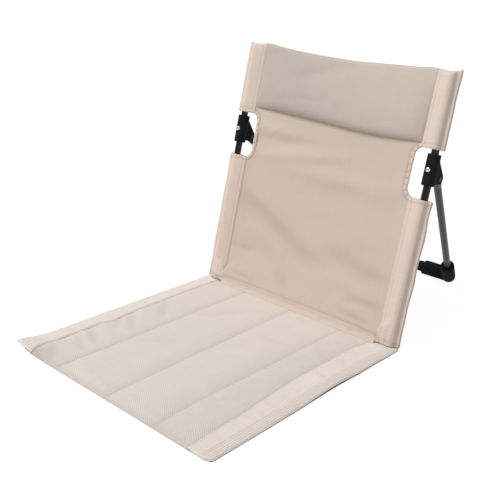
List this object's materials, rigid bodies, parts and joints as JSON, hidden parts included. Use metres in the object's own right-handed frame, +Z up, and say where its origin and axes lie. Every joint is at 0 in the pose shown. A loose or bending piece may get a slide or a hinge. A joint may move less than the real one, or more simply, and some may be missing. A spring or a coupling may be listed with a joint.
{
  "type": "folding lounge chair",
  "caption": "Folding ground chair with a channelled pad seat, a cloth back on tubular posts, a padded headrest and a folding rear stand.",
  "frame": {"origin": "on the floor, in the middle of the chair's footprint", "axes": "+Z up, +Y from the front of the seat to the back and its stand, +X to the viewer's right seen from the front"},
  "size_m": [0.45, 0.7965, 0.4565],
  "materials": {
    "cover_cloth": "fine plain weave, matt",
    "back_cloth": "fine plain weave, matt",
    "base_cloth": "coated, matt",
    "foam": "open foam",
    "binding_tape": "ribbed tape, matt",
    "post_steel": "gloss black powder coat",
    "leg_steel": "satin grey black powder coat",
    "black_plastic": "moulded, satin",
    "rivet_steel": "bright",
    "nylon": "natural nylon"
  },
  "bodies": {
    "seat": {"seat_base": "base_cloth", "seat_cover": "cover_cloth", "foam_outer_left": "foam", "foam_inner_left": "foam", "foam_inner_right": "foam", "foam_outer_right": "foam", "edge_band_left": "cover_cloth", "edge_band_right": "cover_cloth", "bar_tunnel": "back_cloth"},
    "backrest": {"base_bar": "post_steel", "post_left": "post_steel", "post_right": "post_steel", "post_cap_left": "black_plastic", "post_cap_right": "black_plastic", "back_panel": "back_cloth", "headrest_pad": "cover_cloth", "lower_sleeve_left": "back_cloth", "lower_sleeve_right": "back_cloth", "upper_sleeve_left": "back_cloth", "upper_sleeve_right": "back_cloth", "window_binding_left": "binding_tape", "window_binding_right": "binding_tape", "bracket_left": "black_plastic", "bracket_right": "black_plastic", "bracket_rivet_left": "rivet_steel", "bracket_rivet_right": "rivet_steel", "pivot_pin_left": "leg_steel", "pivot_pin_right": "leg_steel", "pivot_washers_left": "nylon", "pivot_washers_right": "nylon"},
    "rear_stand": {"leg_left": "leg_steel", "leg_right": "leg_steel", "elbow_left": "black_plastic", "elbow_right": "black_plastic", "crossbar": "leg_steel", "elbow_screws": "leg_steel"}
  },
  "joints": [
    {"name": "back_fold", "type": "hinge", "parent": "seat", "child": "backrest", "pos_m": [0, 0.04677, 0.0146], "axis": [1, 0, 0], "range_deg": [0, 101]},
    {"name": "stand_fold", "type": "hinge", "parent": "backrest", "child": "rear_stand", "pos_m": [0, 0.13388, 0.28091], "axis": [-1, 0, 0], "range_deg": [0, 56.3]}
  ]
}
